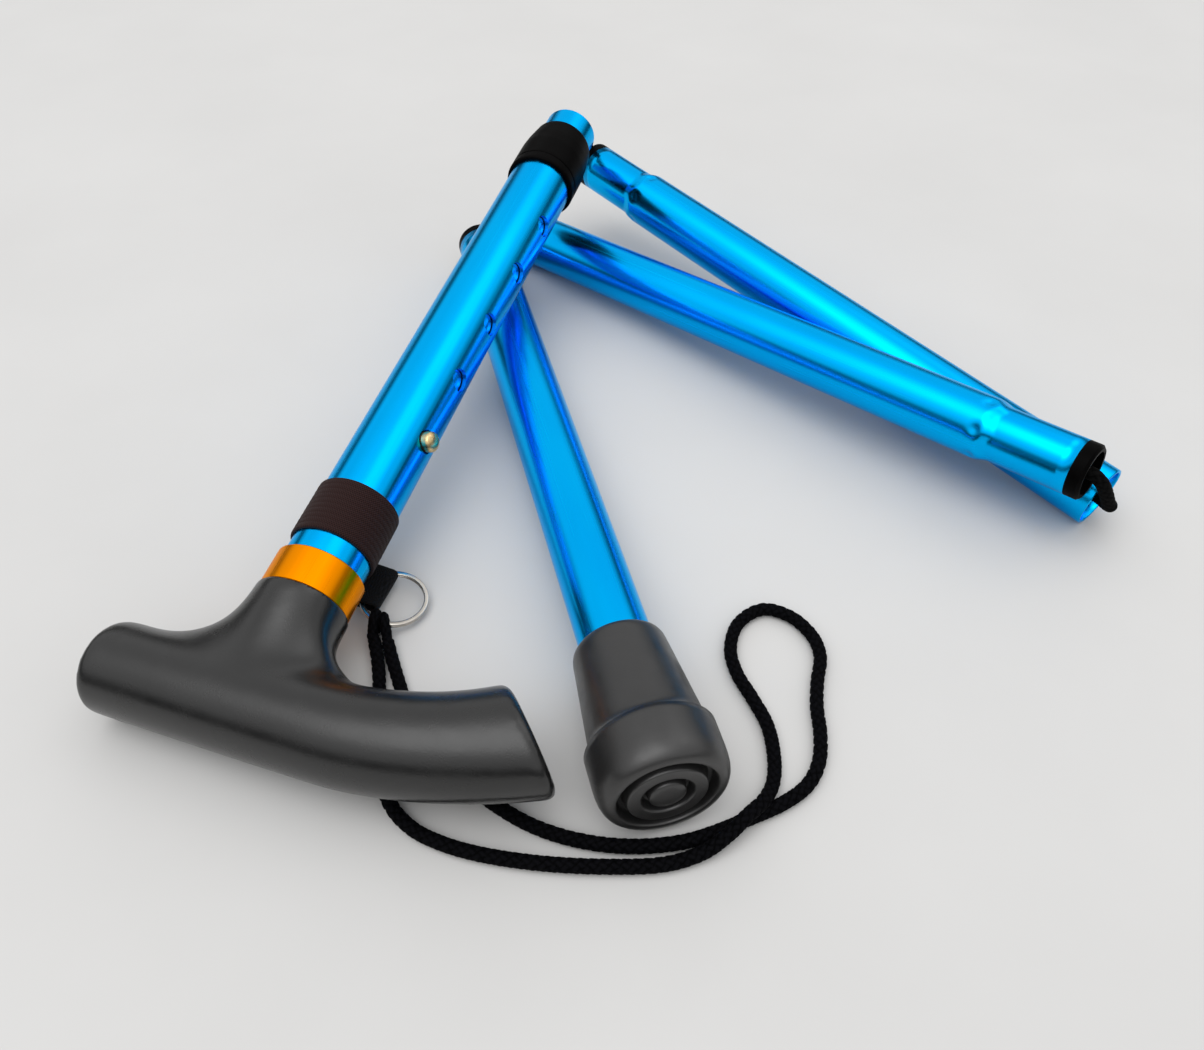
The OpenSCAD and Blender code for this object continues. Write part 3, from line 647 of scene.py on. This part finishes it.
# %% Black plastic and the lock ring
black_plastic, tree, shader = finish("black_plastic", (0.001, 0.001, 0.001), 0.42)
scuff = speckle(tree, None, 160.0, 6.0, 0.65)
painted(tree, shader, scuff, (0.35, (0.0007, 0.0006, 0.0006)), (0.75, (0.0025, 0.0022, 0.0022)))
polished(tree, shader, scuff, 0.36, 0.55)
shader.inputs["Specular IOR Level"].default_value = 0.025
raised(tree, shader, speckle(tree, None, 1500.0, 2.0), 0.15, 0.0001)
for node in ("plug_2", "plug_3", "plug_4", "anchor_top", "anchor_low"):
    coat_node(node, black_plastic)

LOCK_AT, LOCK_L, LOCK_NOSE, LOCK_R, NOSE_BORE_R = 184.65, 26.0, 5.6, 12.25, 9.8
lock_lip = np.array([0, 0.15, 0.45, 0.9])
lock_end = LOCK_L - np.array([0.8, 0.4, 0.1, 0.0])
lock_s = np.concatenate([lock_lip, np.linspace(1.6, 3.0, 4), np.linspace(3.2, 4.2, 9),
                         np.linspace(5, LOCK_L - 1.4, 36), lock_end])
lock_r = np.interp(lock_s, [*lock_lip, 0.45 * LOCK_L, 0.7 * LOCK_L, *lock_end],
                   [11.65, 11.95, 12.15, LOCK_R, LOCK_R, 11.75, 10.85, 10.65, 10.45, 10.3])
# A slight belly, then the groove behind the lip
lock_r = lock_r + 0.12 * np.sin(np.pi * np.clip((lock_s - 6) / (LOCK_L - 7), 0, 1))
lock_r = np.minimum(lock_r, LOCK_R) - 0.28 * np.exp(-(((lock_s - 3.7) / 0.25) ** 2))
inner_s = np.array([LOCK_L, LOCK_L - LOCK_NOSE + 0.05, LOCK_L - LOCK_NOSE, 0.0])
inner_r = np.array([NOSE_BORE_R, NOSE_BORE_R, BORE_R, BORE_R])
lock_grid = lathe(np.concatenate([lock_r, inner_r]), LOCK_AT + np.concatenate([lock_s, inner_s]))
lock_sleeve = surface("lock_sleeve", laid(lock_grid, "shaft"), close_rows=True)
dress(lock_sleeve, black_plastic, "lock_ring", ["lock_ring"])

# %% [markdown]
# ## Elastic band, webbing and split ring
# The band is woven elastic with ribs that run round the shaft. Its tail, a folded tape of webbing, holds the
# split ring. The ring itself is a flat wire wound twice, with its two ends on the faces.

# %% Woven finishes
def woven(name, gap_shade, light, across, lengthways, depth):
    """Plain weave on the UV map, in millimetres: a chessboard of crowned yarns, with painted shade in the
    gaps.
    """
    made, tree, shader = finish(name, light, 0.78)
    place = tree.nodes.new("ShaderNodeUVMap")
    split = tree.nodes.new("ShaderNodeSeparateXYZ")
    tree.links.new(place.outputs["UV"], split.inputs[0])
    waves = []
    for axis, pitch in (("X", across), ("Y", lengthways)):
        turn = tree.nodes.new("ShaderNodeMath")
        turn.operation = "MULTIPLY"
        turn.inputs[1].default_value = 2 * np.pi / pitch
        tree.links.new(split.outputs[axis], turn.inputs[0])
        wave = tree.nodes.new("ShaderNodeMath")
        wave.operation = "SINE"
        tree.links.new(turn.outputs[0], wave.inputs[0])
        waves.append(wave.outputs[0])
    cross = tree.nodes.new("ShaderNodeMath")
    cross.operation = "MULTIPLY"
    tree.links.new(waves[0], cross.inputs[0])
    tree.links.new(waves[1], cross.inputs[1])
    # Painted shade: the first colour falls where the weave's bump is low, in the gaps between the yarns
    painted(tree, shader, between(tree, cross.outputs[0], 0, 1, -1, 1), (0.1, gap_shade), (0.8, light))
    shader.inputs["Sheen Weight"].default_value = 0.05
    shader.inputs["Specular IOR Level"].default_value = 0.1
    raised(tree, shader, cross.outputs[0], 0.6, depth)
    raised(tree, shader, speckle(tree, None, 2400.0, 2.0), 0.4, 0.00015)
    return made


# For both weaves the first colour is painted shade in the gaps, and the second is the yarn's own colour
band_weave = woven("elastic_weave", (0.005, 0.0022, 0.0022), (0.033, 0.0135, 0.0125), 0.9, 0.7, 0.0001)
tape_weave = woven("webbing_weave", (0.0005, 0.0005, 0.0005), (0.006, 0.006, 0.007), 0.8, 0.8, 0.00012)

# %% Ribbed elastic band
BAND_AT, BAND_W, BAND_T, BAND_ROUND, RIB_PITCH, RIB_H = 17.0, 17.0, 0.9, 75.0, 1.65, 0.13
BAND_BORE_R = 11.08
band_s = np.linspace(0.25, BAND_W - 0.25, 150)
band_r = BORE_R + BAND_T - 0.16 + RIB_H * np.abs(np.sin(np.pi * band_s / RIB_PITCH)) ** 0.7
# Both edges are rounded over two rows, and the last two rows are the bore
band_s = np.concatenate([[0, 0.05], band_s, [BAND_W - 0.05, BAND_W, BAND_W, 0]])
band_r = np.concatenate([[11.45, 11.7], band_r, [11.7, 11.45, BAND_BORE_R, BAND_BORE_R]])
band_grid = lathe(band_r, BAND_AT + band_s, 120)
band = surface("ribbed_band", laid(band_grid, "shaft"), close_rows=True, size=(BAND_W, BAND_ROUND))
dress(band, band_weave, "handle_section", ["elastic_band"])

# %% Webbing loop and split ring
def rounded(width, height, corner, columns=40):
    """A rounded rectangle as points round it: a superellipse pulled out to the two half sizes."""
    a = np.linspace(0, 2 * np.pi, columns, endpoint=False)
    power = 2.0 / corner
    return np.stack([width / 2 * np.sign(np.cos(a)) * np.abs(np.cos(a)) ** power,
                     height / 2 * np.sign(np.sin(a)) * np.abs(np.sin(a)) ** power], -1)


FOLD_AT, LOOP_LEAN, LOOP_L, TAPE_W, TAPE_T, SLOT_HALF = 4.2, 16.0, 4.3, 13.6, 1.0, 0.9
TAPE_SHIFT, TAPE_ROUND, TAIL_SIZE = -1.5, 24.0, (3.0, 26.0)
WIRE_W, WIRE_T, WIRE_STEP = 1.3, 0.66, 0.72


def folded_tape(rows=96):
    """A closed loop of tape round the wire: its middle line is a slot shape, two half circles joined by two
    straights, and its section is a flat rounded rectangle whose short side points out of the loop."""
    t = np.linspace(0, 1, rows, endpoint=False)
    mid, straight = SLOT_HALF + TAPE_T / 2, RING_R - FOLD_AT
    total = 2 * straight + 2 * np.pi * mid
    d = t * total
    first, second = straight, straight + np.pi * mid
    third = second + straight
    stretch = [d < first, d < second, d < third]
    a = np.select(stretch, [0 * d, (d - first) / mid, np.pi + 0 * d], np.pi + (d - third) / mid)
    centre = np.select(stretch, [FOLD_AT + d, RING_R + 0 * d, RING_R - (d - second)], FOLD_AT + 0 * d)
    out = np.stack([np.sin(a), np.cos(a)], -1)
    flat = rounded(TAPE_W, TAPE_T, 5.0)
    reach = mid + flat[None, :, 1]
    x = centre[:, None] + reach * out[:, :1]
    z = reach * out[:, 1:]
    return np.stack([x, TAPE_SHIFT + flat[None, :, 0] + 0 * x, z], -1), total


tape_grid, tape_length = folded_tape()
tape = surface("webbing_fold", on_ring(tape_grid), close_rows=True, size=(tape_length, TAPE_ROUND))
dress(tape, tape_weave, "handle_section", ["webbing_loop"])
tail_way = np.linspace(1.35, LOOP_L, 12)[:, None]
tail_flat = rounded(TAPE_W, 2 * TAPE_T, 5.0)
lean = np.radians(LOOP_LEAN)
tail_x = RING_R + tail_way * np.cos(lean) - tail_flat[None, :, 1] * np.sin(lean)
tail_z = tail_way * np.sin(lean) + tail_flat[None, :, 1] * np.cos(lean)
tail_grid = np.stack([tail_x, TAPE_SHIFT + tail_flat[None, :, 0] + 0 * tail_x, tail_z], -1)
tail = surface("webbing_tail", on_ring(tail_grid), caps=True, size=TAIL_SIZE)
dress(tail, tape_weave, "handle_section")


def split_ring_wire(rows=240):
    """Two turns of flat wire: the angle runs twice round less a small gap, and the height steps from the
    lower turn to the upper one over a short stretch in the middle."""
    t = np.linspace(0, 1, rows)[:, None]
    a = np.radians(30 + 700 * t)
    lift = -WIRE_STEP / 2 + WIRE_STEP * ease((t - 0.44) / 0.12)
    flat = rounded(WIRE_W, WIRE_T, 3.5, 20)
    r = RING_R + flat[None, :, 0]
    return np.stack([r * np.cos(a), r * np.sin(a), lift + flat[None, :, 1] + 0 * a], -1)


nickel, tree, shader = finish("nickel_wire", (0.55, 0.52, 0.47), 0.2, 1.0)
polished(tree, shader, speckle(tree, None, 400.0, 4.0), 0.14, 0.3)
painted(tree, shader, speckle(tree, None, 120.0, 4.0), (0.3, (0.46, 0.43, 0.39)), (0.7, (0.62, 0.59, 0.54)))
ring = surface("split_ring_wire", on_ring(split_ring_wire()), caps=True)
dress(ring, nickel, "strap_ring", ["split_ring"])

# %% [markdown]
# ## Rubber tip
# The tip is a soft cup with a broad foot. Its sole has a disc and a ring of tread between two grooves. All of
# it is round, so one profile carried round the tube's axis makes it, with every edge softened.

# %% Rubber tip
TIP_AT, TIP_L = 209.2, 43.0


def tip_profile():
    """Radii and depths from the cup's mouth, over the lip, down the side, over the foot and across the sole.
    Each edge of a groove is a steep S curve of the radius."""
    lip = np.array([[9.6, 1.2], [9.7, 0.5], [10.1, 0.12], [10.7, 0.0],
                    [11.3, 0.2], [11.8, 0.75], [12.1, 1.6], [12.25, 2.8]])
    side_h = np.linspace(4, 25.0, 16)
    side = np.stack([12.25 + (14.25 - 12.25) * (side_h - 2.8) / 22.5, side_h], -1)
    a = np.linspace(0, np.pi / 2, 12)
    shoulder = np.stack([14.3 + 0.2 * np.sin(a) + 1.5 * (1 - np.cos(a)), 25.6 + 3.4 * np.sin(a)], -1)
    foot = np.array([[16.0, 30.5], [16.0, 33], [15.98, 36], [15.9, 38], [15.7, 39.6],
                     [15.3, 41.0], [14.7, 42.1], [13.9, 42.8], [13.0, TIP_L]])
    r = np.concatenate([np.linspace(12.9, 4.2, 100), [3, 2, 1, 0]])
    past = lambda edge: 1 / (1 + np.exp(-(r - edge) / 0.12))
    outer_groove, inner_groove = past(9.8) - past(11.7), past(4.6) - past(6.0)
    sole = np.stack([r, TIP_L - 3.2 * outer_groove - 2.8 * inner_groove], -1)
    cup = np.array([[0, 20.55], [9.0, 20.55], [9.56, 20.3], [9.56, 10.0]])
    return np.concatenate([lip, side, shoulder, foot, sole, cup])


profile = tip_profile()
tip_grid = laid(lathe(profile[:, 0], TIP_AT + profile[:, 1], 128), "fourth")
tip = surface("rubber_tip_moulding", tip_grid, close_rows=True)
rubber, tree, shader = finish("tip_rubber", (0.013, 0.013, 0.013), 0.36)
bloom = speckle(tree, None, 70.0, 5.0)
painted(tree, shader, bloom, (0.3, (0.011, 0.0108, 0.011)), (0.72, (0.017, 0.0166, 0.0166)))
polished(tree, shader, speckle(tree, None, 220.0, 5.0), 0.28, 0.42)
shader.inputs["Specular IOR Level"].default_value = 0.7
raised(tree, shader, speckle(tree, None, 1800.0, 3.0), 0.2, 0.0001)
dress(tip, rubber, "section_4", ["rubber_tip"])

# %% [markdown]
# ## Elastic cord between the sections
# One elastic cord strings the sections together. Inside the tubes its solids only need a finish. Where it
# shows it is a short braided bend. The sections turn against each other there by up to half a turn, and one
# mesh blended over such a turn would collapse at its middle. So each bend is led through the axis of its fold
# and cut there, and both halves end in a ball on the axis. The upper half rides on the upper section. The
# lower half rides on the lower section where the fold joins two bodies, and stays in place where it joins
# three.

# %% Elastic bends
# The first colour is painted shade for the grooves of the elastic's braid
elastic_black = braid_finish("elastic_braid", (0.0003, 0.0003, 0.0003), (0.004, 0.004, 0.004), 0.4)
for node in ("elastic_1", "elastic_2", "elastic_3", "elastic_4"):
    coat_node(node, black_plastic)
ELASTIC_R, ELASTIC_PITCH = 2.0, 2.2
# How far the cord starts inside a mouth and a plug, its straight lead there and the gap to the solid within
TUCK, RECESS, LEAD, GAP = 12.0, PLUG_RIM - 1, 1.5, 0.3
CUT_LEAN, CUT_PULL, MOUTH_PULL, PLUG_PULL = 0.6, 2.5, 3.0, 5.0


def unit(v):
    """A vector drawn to length one."""
    return v / np.linalg.norm(v)


def cubic(a, b, c, d, steps=11):
    """The curve from a to d that leaves towards b and arrives from c."""
    t = np.linspace(0, 1, steps)[:, None]
    return (1 - t) ** 3 * a + 3 * (1 - t) ** 2 * t * b + 3 * (1 - t) * t**2 * c + t**3 * d


def elastic_bend(upper, length, lower, hinge, axis, rise):
    """Two curves, from inside the upper section's mouth to a point on the fold's axis and from there into the
    plug of the lower section. The point lies on the axis by the part rise of the way from the mouth's level
    to the plug's. Both curves run past it by the cord's radius, and there each leans towards its section."""
    mouth, plug = laid([0, 0, length], upper) * 1000, laid([0, 0, 0], lower) * 1000
    go, on, axis, hinge = along(upper), along(lower), unit(np.array(axis)), np.array(hinge)
    foot = lambda p: hinge + ((p - hinge) @ axis) * axis
    cut = (1 - rise) * foot(mouth) + rise * foot(plug)
    across = unit(plug - mouth)
    arrive, leave = unit(across + CUT_LEAN * go), unit(across + CUT_LEAN * on)
    start, stop = mouth - (TUCK - GAP) * go, plug + (RECESS - GAP) * on
    first = cubic(start + LEAD * go, mouth + MOUTH_PULL * go, cut - CUT_PULL * arrive, cut)
    second = cubic(cut, cut + CUT_PULL * leave, plug - PLUG_PULL * on, stop - LEAD * on)
    first = np.vstack([start, first, cut + ELASTIC_R * arrive])
    second = np.vstack([cut - ELASTIC_R * leave, second, stop])
    return (first, np.cross(across, go)), (second, np.cross(across, on))


def elastic_half(name, points, across, node):
    """A braided rod with rounded ends along half a bend."""
    path, length = spline(points, 0.35)
    grid, relief = braided_rod(path, length, radius=ELASTIC_R, pitch=ELASTIC_PITCH, depth=0.18, columns=30,
                               dome=ELASTIC_R, across=unit(across))
    piece = surface(name, grid * MM, caps=True, spots=relief)
    dress(piece, elastic_black, None, [node])
    return piece, path * MM


# For each fold: its node, the bodies along it, and then what elastic_bend asks for
FOLDS = (
    ("elastic_span_a", ("inner_tube", "cord_link_a", "section_2"),
     ("shaft", SHAFT_L, "second", (-23.777, 134.419, 28.887), (0.112399, -0.097217, 0.988896), 0.15)),
    ("elastic_span_b", ("section_2", "cord_link_b", "section_3"),
     ("second", SECTION_L, "third", (131.983, -41.319, 26.779), (0.003366, -0.003384, 0.999989), 0.27)),
    ("elastic_span_c", ("section_3", "section_4"),
     ("third", SECTION_L, "fourth", (-56.492, 112.3, 9.509), (0.014883, -0.052003, -0.998536), 0.5)),
)
for node, bodies, bend in FOLDS:
    first, second = elastic_bend(*bend)
    piece, path = elastic_half(node + "_upper_half", *first, node)
    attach(piece, bodies[0])
    piece, path = elastic_half(node + "_lower_half", *second, node)
    if len(bodies) == 3:
        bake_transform(piece)
    else:
        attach(piece, bodies[1])

# %% [markdown]
# ## Small metal
# The snap button is worn brass, and a steel washer lies in the tip. The spring behind the button is a strip
# of rolled steel bent to a V, whose legs close when the button goes in. It is made again as a flat strip
# swept along the V.

# %% Brass and steel
brass, tree, shader = finish("worn_brass", (0.72, 0.54, 0.26), 0.3, 1.0)
worn = speckle(tree, None, 700.0, 5.0, 0.65)
painted(tree, shader, worn,
        (0.3, (0.50, 0.34, 0.14)), (0.6, (0.78, 0.60, 0.32)), (0.8, (0.88, 0.78, 0.58)))
polished(tree, shader, worn, 0.42, 0.2)
coat_node("snap_button", brass)
steel, tree, shader = finish("rolled_steel", (0.55, 0.55, 0.57), 0.32, 1.0)
rolled = speckle(tree, own_place(tree, "shaft", (1, 1, 0.05)), 500.0, 4.0)
polished(tree, shader, rolled, 0.26, 0.42)
painted(tree, shader, rolled, (0.3, (0.48, 0.48, 0.50)), (0.7, (0.60, 0.60, 0.62)))
coat_node("tip_washer", steel)

# %% Spring strip
HOLE_SPIN, HOLE_AT, PRESS = -106.0, 58.5, 3.5
SPRING_W, SPRING_T, SPRING_HALF = 7.0, 0.6, 6.5
# Distances from the tube's axis towards the button and ways along the tube, from leg to leg
SPRING_WAY = np.array([[SPRING_HALF, 66.5], [SPRING_HALF, 60], [SPRING_HALF, 54], [6.0, 50.5], [1.1, 34.3],
                       [0, 33.2], [-1.1, 34.3], [-6.0, 59.5], [-SPRING_HALF, 62.5]])
spring_points = np.stack([SPRING_WAY[:, 0], 0 * SPRING_WAY[:, 0], SPRING_WAY[:, 1]], -1)
spring_path, spring_length = spline(spring_points, 0.5)
spring_grid = swept(spring_path, rounded(SPRING_W, SPRING_T, 5.0, 24), (0, 1, 0))
spring = surface("button_spring_strip", laid(spring_grid, "shaft", HOLE_SPIN), caps=True)
dress(spring, steel, "inner_tube", ["button_spring"])
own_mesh(spring)
print("spring strip", round(spring_length), "mm long")
